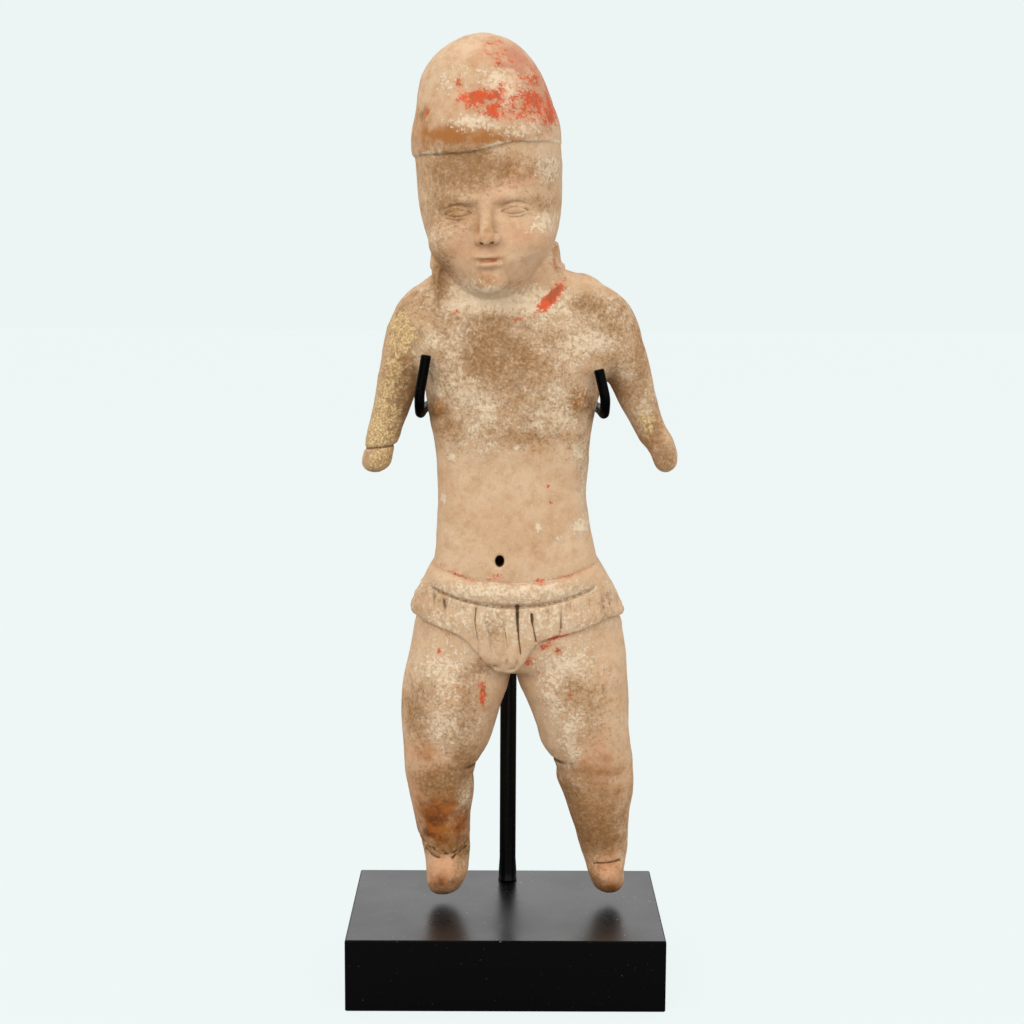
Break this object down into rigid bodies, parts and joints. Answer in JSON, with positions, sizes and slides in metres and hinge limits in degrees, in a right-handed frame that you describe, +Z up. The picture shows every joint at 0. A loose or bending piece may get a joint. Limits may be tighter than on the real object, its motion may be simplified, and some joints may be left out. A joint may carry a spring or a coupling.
{
  "type": "pottery female figurine",
  "caption": "Standing pottery female figurine with a tall cap and a pleated waist wrap, held upright by its armpits on a bent wire, a round post and a rectangular block.",
  "frame": {"origin": "centre of the block's underside", "axes": "+Z up along the figure, -Y towards the viewer that the figure faces, +X along the block's long side, to the right of that viewer"},
  "size_m": [0.1147, 0.074, 0.3325],
  "materials": {
    "clay": "unglazed buff fired clay with pale encrustation, brown soil and traces of red pigment",
    "mount_metal": "satin black paint",
    "block": "black acrylic, polished, with dust and fine scratches"
  },
  "bodies": {
    "root": {"figurine": "clay", "arm_hooks": "mount_metal", "post": "mount_metal", "base_block": "block"}
  },
  "joints": []
}
